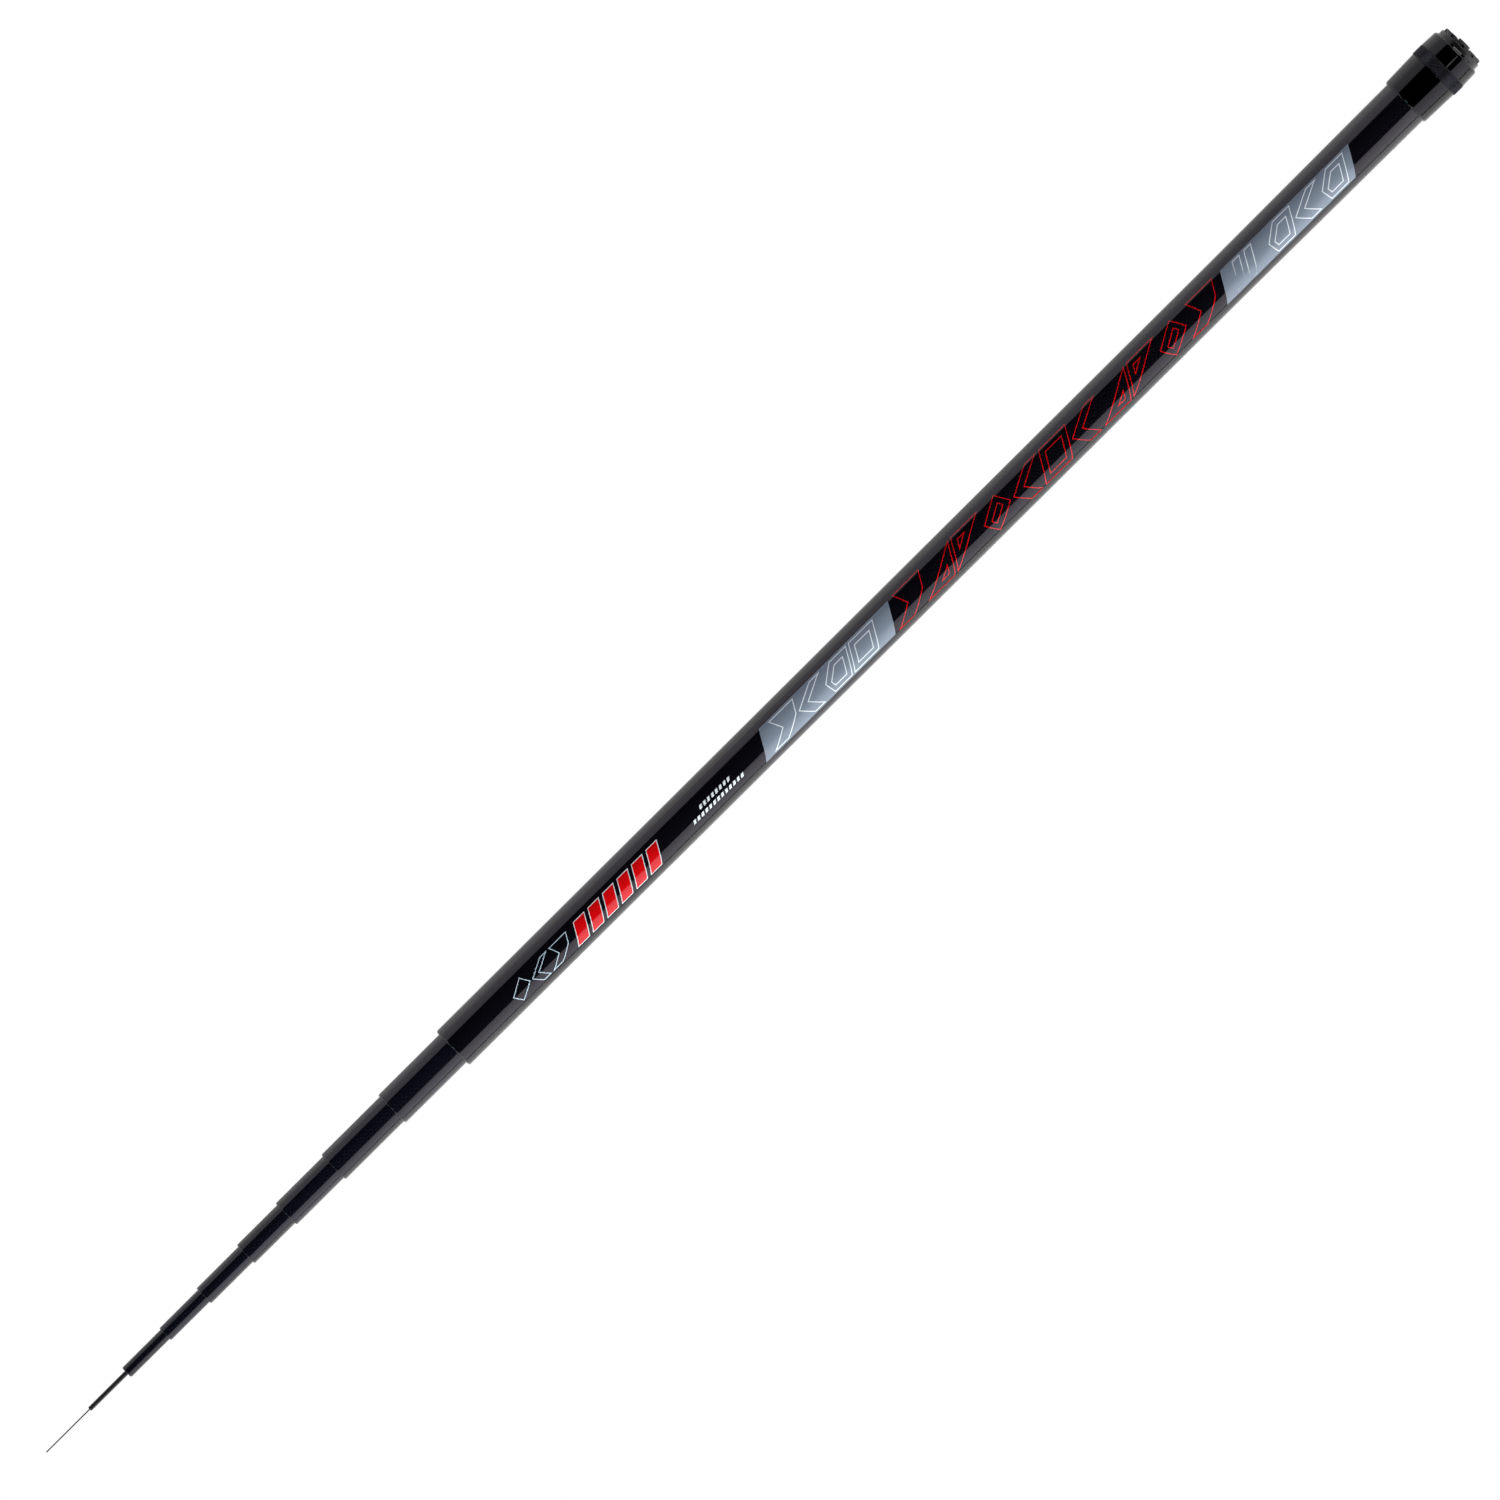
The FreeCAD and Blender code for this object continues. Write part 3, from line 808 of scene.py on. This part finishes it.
class POLE_OT_bumper(bpy.types.Operator):
    """Builds the rubber bumper: crown, notched rim, disc and stem"""

    bl_idname = "pole.build_bumper"
    bl_label = "Bumper"

    def execute(self, context):
        own = sizes()
        outer, _ = half_outlines("bumper")
        disc_radius = outer[:, 1].max()
        disc = outer[outer[:, 1] > disc_radius - SAME_PLACE]
        box = (disc[0, 0], disc[-1, 0], outer[-1, 0]), (disc_radius, outer[-1, 1])
        grids = [crown_grid(own), rim_grid(own, box)]
        material = moulded_rubber("bumper_rubber", colours().rubber, own.crown_rear, disc[0, 0])
        piece = piece_from_grids("rubber_bumper", grids, material, sharp=40.0)
        settle(piece, "cap", "bumper_rubber", "bumper")
        return {"FINISHED"}


class POLE_OT_soft_rings(bpy.types.Operator):
    """Gives the seal and the cushion in the cap their rubber and their foam"""

    bl_idname = "pole.finish_soft_rings"
    bl_label = "Seal and cushion"

    def execute(self, context):
        finishes = {
            "seal_ring": moulded_rubber("seal_rubber", colours().seal, 0.0, 0.0),
            "stop_cushion": closed_foam("cushion_foam", colours().foam),
        }
        for node, material in finishes.items():
            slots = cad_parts[node].data.materials
            slots.clear()
            slots.append(material)
        return {"FINISHED"}


# The prints on the butt. A flat print is laid out in (x, across), with across measured round the
# tube from +Z towards +Y, and then wrapped on the tube.

FILM_ROOT = 0.01 * MM  # how deep a film of print stands in the tube's wall

BAR = [(0, 0), (1, 0), (1, 1), (0, 1)]
CHEVRON = [(0, 0), (0.42, 0), (1, 0.5), (0.42, 1), (0, 1), (0.58, 0.5)]
NOTCH = [(0, 0), (1, 0), (0.58, 0.5), (1, 1), (0.42, 1), (0, 0.5)]
WEDGE = [(0, 0), (1, 0), (1, 1)]
COUNTER_WEDGE = [(0, 0), (1, 1), (0, 1)]
LOZENGE = [(0.5, 0), (1, 0.5), (0.5, 1), (0, 0.5)]
SHIELD = [(0, 0), (0.7, 0), (1, 0.5), (0.7, 1), (0, 1)]


def inset(corners, distance):
    """A polygon moved inwards by a distance, with mitred corners.

    Each corner moves by the sum of its two edges' unit normals, times the distance, over one plus
    their dot product.
    """
    edge = np.roll(corners, -1, axis=0) - corners
    edge /= np.linalg.norm(edge, axis=1, keepdims=True)
    normal = np.stack([-edge[:, 1], edge[:, 0]], 1)
    before = np.roll(normal, 1, axis=0)
    share = 1 + (normal * before).sum(axis=1, keepdims=True)
    return corners + distance * (normal + before) / share


def divided(corners, steps):
    """A closed polygon with each edge cut into a number of steps."""
    share = np.arange(steps)[None, :, None] / steps
    following = np.roll(corners, -1, axis=0)[:, None]
    return (corners[:, None] * (1 - share) + following * share).reshape(-1, 2)


def wrapped(flat, lift):
    """Flat points (x, across) on the butt: the angle is across over the tube's radius there."""
    outer, _ = half_outlines("butt_tube")
    wall = np.interp(flat[..., 0], outer[:, 0], outer[:, 1])
    return around_pole(flat[..., 0], wall + lift, flat[..., 1] / wall)


def outlined(corners, stroke, layer):
    """A closed film that follows a polygon's outline: four rails carried round it, two on the
    polygon and two on its inset, each pair with one rail in the tube's wall and one on the film."""
    steps = 18
    outside, inside = divided(corners, steps), divided(inset(corners, stroke), steps)
    film = layer * sizes().film
    return np.stack([wrapped(outside, -FILM_ROOT), wrapped(outside, film),
                     wrapped(inside, film), wrapped(inside, -FILM_ROOT)])


def filled(corners, layer):
    """A closed film over a quadrilateral: its top and its underside meet in no thickness at the
    ends, and a point is the two-way blend of the four corners."""
    down = np.linspace(0, 1, 25)[:, None, None]
    along = np.array([0, 0, 0.5, 1, 1])[None, :, None]
    first, second, third, fourth = corners
    flat = (first * (1 - along) + second * along) * (1 - down) + (fourth * (1 - along) + third * along) * down
    top = np.array([-FILM_ROOT] + 3 * [layer * sizes().film] + [-FILM_ROOT])[None, :]
    return np.concatenate([wrapped(flat, top), wrapped(flat, np.full_like(top, -FILM_ROOT))[::-1]])


def row_of(shapes, start, width, low, high, pitch=0.0):
    """The corners of unit shapes set along the tube at an even pitch, from sizes in millimetres: each
    is width along the pole, reaches from low to high across it, and leans by the prints' slant."""
    marks = []
    for place, shape in enumerate(shapes):
        unit = np.array(shape, dtype=float)
        across = low + unit[:, 1] * (high - low)
        along = start + place * pitch + unit[:, 0] * width + sizes().slant * across
        marks.append(np.stack([along, across], 1) * MM)
    return marks


def with_nested(marks, distance):
    """Marks, and a smaller copy nested in each one that has fewer than six sides."""
    return marks + [inset(mark, distance) for mark in marks if len(mark) < 6]


class POLE_OT_prints(bpy.types.Operator):
    """Lays the printed panels, outlined marks and bars on the butt"""

    bl_idname = "pole.lay_prints"
    bl_label = "Prints"

    def execute(self, context):
        tone = colours()
        low, high, margin = -5.4, 9.65, 0.95
        panel = {"low": low, "high": high}
        in_panel = {"low": low + margin, "high": high - margin}
        wide, nest = {"pitch": 17.6, "width": 16.2, **in_panel}, 2.6 * MM
        panels = row_of([BAR], start=75.8, width=84.8, **panel)
        panels += row_of([BAR], start=380.4, width=85.4, **panel)
        pale = with_nested(row_of([SHIELD, CHEVRON, SHIELD], start=80.0, **wide), nest)
        pale += row_of([BAR, BAR], start=140.5, pitch=7.6, width=5.0, **in_panel)
        pale += with_nested(row_of([BAR, SHIELD, CHEVRON, NOTCH], start=391.0, **wide), nest)
        red = with_nested(row_of(
            [NOTCH, LOZENGE, WEDGE, COUNTER_WEDGE, CHEVRON, BAR, CHEVRON, LOZENGE, WEDGE, COUNTER_WEDGE,
             NOTCH], start=166.0, pitch=19.4, width=17.8, low=low - 0.5, high=high), 2.9 * MM)
        ticks = row_of(13 * [BAR], start=480.0, pitch=2.6, width=1.5, low=3.9, high=5.7)
        ticks += row_of(8 * [BAR], start=488.0, pitch=2.6, width=1.5, low=0.5, high=2.3)
        bars = row_of(6 * [BAR], start=535.0, pitch=9.6, width=6.6, low=-2.0, high=8.4)
        blue = row_of([NOTCH, CHEVRON, LOZENGE], start=595.0, pitch=12.6, width=11.6, low=-1.8, high=8.3)
        stroke, edging = 0.47 * MM, 0.35 * MM
        under, over = 1, 2
        pale_films = [outlined(mark, stroke, over) for mark in pale]
        pale_films += [filled(mark, under) for mark in ticks]
        pale_films += [outlined(inset(bar, -edging), edging, over) for bar in bars]
        red_films = [outlined(mark, 0.9 * stroke, over) for mark in red]
        red_films += [filled(bar, over) for bar in bars]
        layers = {
            "print_panels": ([filled(mark, under) for mark in panels], ink("panel_ink", tone.panel)),
            "print_pale_marks": (pale_films, ink("pale_ink", tone.pale)),
            "print_red_marks": (red_films, ink("red_ink", tone.red)),
            "print_blue_marks": (
                [outlined(mark, 0.9 * stroke, over) for mark in blue], ink("blue_ink", tone.blue)),
        }
        for name, (grids, material) in layers.items():
            settle(piece_from_grids(name, grids, material, sharp=30.0), "butt", "butt_lacquer")
        return {"FINISHED"}


# The studio.

def stage_plane(name, corners, material):
    """A flat four-cornered piece of the studio."""
    mesh = bpy.data.meshes.new(name)
    mesh.from_pydata(corners, [], [(0, 1, 2, 3)])
    mesh.materials.append(material)
    plane = bpy.data.objects.new(name, mesh)
    bpy.context.scene.collection.objects.link(plane)
    return plane


def glowing(name, tint, low, high, span):
    """An emitter that grades from one brightness at the foot of a span of heights to another at
    its top; a brightness of 0 is a black cloth."""
    material = bpy.data.materials.new(name)
    material.use_nodes = True
    tree = material.node_tree
    tree.nodes.clear()
    height = axes(tree, tree.nodes.new("ShaderNodeTexCoord").outputs["Object"])[2]
    light = add(tree, "ShaderNodeEmission", [
        ("Color", (*tint, 1.0)), ("Strength", spread(tree, height, *span, low, high))])
    plug(tree, light.outputs[0], add(tree, "ShaderNodeOutputMaterial").inputs["Surface"])
    return material


def soft_light(name, corners, foot, tint=WHITE, top_share=1.0, in_gloss=True, in_matt=True):
    """A soft box that the camera doesn't see, with a brightness at its foot and a share of it at its
    top. It may be left out of gloss or of matt surfaces."""
    heights = [corner[2] for corner in corners]
    span = min(heights), max(heights) + 1.0 * MM
    light = stage_plane(name, corners, glowing(name, tint, foot, top_share * foot, span))
    light.visible_camera = light.visible_shadow = False
    light.visible_glossy = in_gloss
    light.visible_diffuse = in_matt


def along_pole(start, end, near, far):
    """The corners of a plane that runs along X between two lines, each given as (y, z)."""
    return [(start, *near), (end, *near), (end, *far), (start, *far)]


def across_pole(place, half_width, low, high):
    """The corners of an upright plane across X, between two heights."""
    return [(place, -half_width, low), (place, half_width, low), (place, half_width, high),
            (place, -half_width, high)]


def floor_finish(colour, glow, pool):
    """A pale matt floor; to the camera it only glows, evenly. To everything else it glows with a painted pool
    of light on its +Y side and a painted shadow of the pole beside it and on its -Y side.
    """
    material, tree, inputs, place = new_finish("studio_floor")
    seen = tree.nodes.new("ShaderNodeLightPath").outputs["Is Camera Ray"]
    mottle = between(tree, noise(tree, place, 3.0), shade(colour, 0.98), colour)
    plug(tree, between(tree, seen, mottle, BLACK), inputs["Base Color"])
    inputs["Roughness"].default_value = 0.9
    inputs["Specular IOR Level"].default_value = 0.0
    inputs["Emission Color"].default_value = (*WHITE, 1.0)
    # Painted light: the glow is 0.45 of the pool on the -Y side and within 8 mm of the pole, a painted shadow
    # of the pole. It rises to the whole pool 90 mm out on +Y, a painted pool of light.
    near_side = spread(tree, axes(tree, place)[1], 8.0 * MM, 90.0 * MM, 0.45 * pool, pool)
    painted_pool_and_shadow = calc(tree, "MULTIPLY", near_side, calc(tree, "SUBTRACT", 1.0, seen))
    plug(tree, calc(tree, "ADD", calc(tree, "MULTIPLY", seen, glow), painted_pool_and_shadow), inputs["Emission Strength"])
    return material


def studio_air(scene):
    """Air that is pale to the camera, and for everything else dark overhead and light low down."""
    world = bpy.data.worlds.new("studio_air")
    world.use_nodes = True
    tree = world.node_tree
    back = tree.nodes["Background"]
    up = axes(tree, tree.nodes.new("ShaderNodeTexCoord").outputs["Generated"])[2]
    low_light = spread(tree, up, 0.0, 0.4, 0.5, 0.0)
    seen = tree.nodes.new("ShaderNodeLightPath").outputs["Is Camera Ray"]
    plug(tree, calc(tree, "MAXIMUM", seen, low_light), back.inputs["Strength"])
    back.inputs["Color"].default_value = (*WHITE, 1.0)
    scene.world = world


class POLE_OT_studio(bpy.types.Operator):
    """Sets the floor, the soft lights, the air and the camera"""

    bl_idname = "pole.set_studio"
    bl_label = "Studio"

    def execute(self, context):
        scene = context.scene
        own = scene.pole_stage
        reach, ground = 20, cad_low[2] - 0.05 * MM
        floor = floor_finish(own.floor, own.floor_glow, own.floor_pool)
        stage_plane("floor", along_pole(-reach, reach, (-reach, ground), (reach, ground)), floor)
        rear, front = -2.0, 7.5
        near_side = along_pole(rear, front, (1.057, 1.26), (1.5, 0.05))
        far_side = along_pole(rear, front, (-1.15, 1.0), (-1.5, 0.0))
        key = along_pole(rear, front, (1.25, 1.55), (1.95, 0.65))
        hair_line = along_pole(-0.26, -0.06, (0.488, 2.0), (0.669, 2.0))
        rear_window = across_pole(-2.5, half_width=0.9, low=0.9, high=3.0)
        front_window = across_pole(9.0, half_width=1.2, low=3.5, high=9.0)
        horizon_gap = along_pole(rear, front, (0.13, -0.011), (0.13, 0.0))
        tint = own.gloss_tint
        soft_light("near_side", near_side, own.near_light, tint, top_share=0.65, in_matt=False)
        soft_light("far_side", far_side, own.far_light, tint, top_share=0.86)
        soft_light("key", key, own.key_light, in_gloss=False)
        soft_light("hair_line", hair_line, own.hair_light, in_matt=False)
        soft_light("rear_window", rear_window, own.rear_light, in_matt=False)
        soft_light("front_window", front_window, own.front_light, own.window_tint, in_matt=False)
        soft_light("horizon_gap", horizon_gap, 0.0, in_matt=False)
        studio_air(scene)
        camera = bpy.data.cameras.new("camera")
        camera.sensor_width = 36
        camera.lens = camera.sensor_width * own.camera_height / own.picture_width
        camera.clip_end = 100
        viewer = bpy.data.objects.new("camera", camera)
        viewer.location = (own.picture_middle, own.picture_side, own.camera_height)
        viewer.rotation_euler = (0, 0, own.picture_turn)
        scene.collection.objects.link(viewer)
        scene.camera = viewer
        scene.view_settings.view_transform = "Standard"
        return {"FINISHED"}


STEPS = (
    POLE_OT_butt, POLE_OT_sections, POLE_OT_tip, POLE_OT_ferrule, POLE_OT_plug, POLE_OT_bush,
    POLE_OT_sleeve, POLE_OT_bumper, POLE_OT_soft_rings, POLE_OT_prints, POLE_OT_studio,
)


class POLE_PT_pole(bpy.types.Panel):
    """Lists the pole's sizes, colours, stage and steps"""

    bl_idname = "POLE_PT_pole"
    bl_label = "Telescopic pole"
    bl_space_type = "VIEW_3D"
    bl_region_type = "UI"
    bl_category = "Pole"

    def draw(self, context):
        scene = context.scene
        for group in (scene.pole_sizes, scene.pole_colours, scene.pole_stage):
            box = self.layout.box()
            for name in group.__annotations__:
                box.prop(group, name)
        for step in STEPS:
            self.layout.operator(step.bl_idname)


CLASSES = (PoleSizes, PoleColours, PoleStage, *STEPS, POLE_PT_pole)


def register():
    for kind in CLASSES:
        bpy.utils.register_class(kind)
    bpy.types.Scene.pole_sizes = PointerProperty(type=PoleSizes)
    bpy.types.Scene.pole_colours = PointerProperty(type=PoleColours)
    bpy.types.Scene.pole_stage = PointerProperty(type=PoleStage)


def unregister():
    del bpy.types.Scene.pole_stage, bpy.types.Scene.pole_colours, bpy.types.Scene.pole_sizes
    for kind in reversed(CLASSES):
        bpy.utils.unregister_class(kind)


def main():
    register()
    for step in STEPS:
        group, name = step.bl_idname.split(".")
        getattr(getattr(bpy.ops, group), name)()


if __name__ == "__main__":
    main()
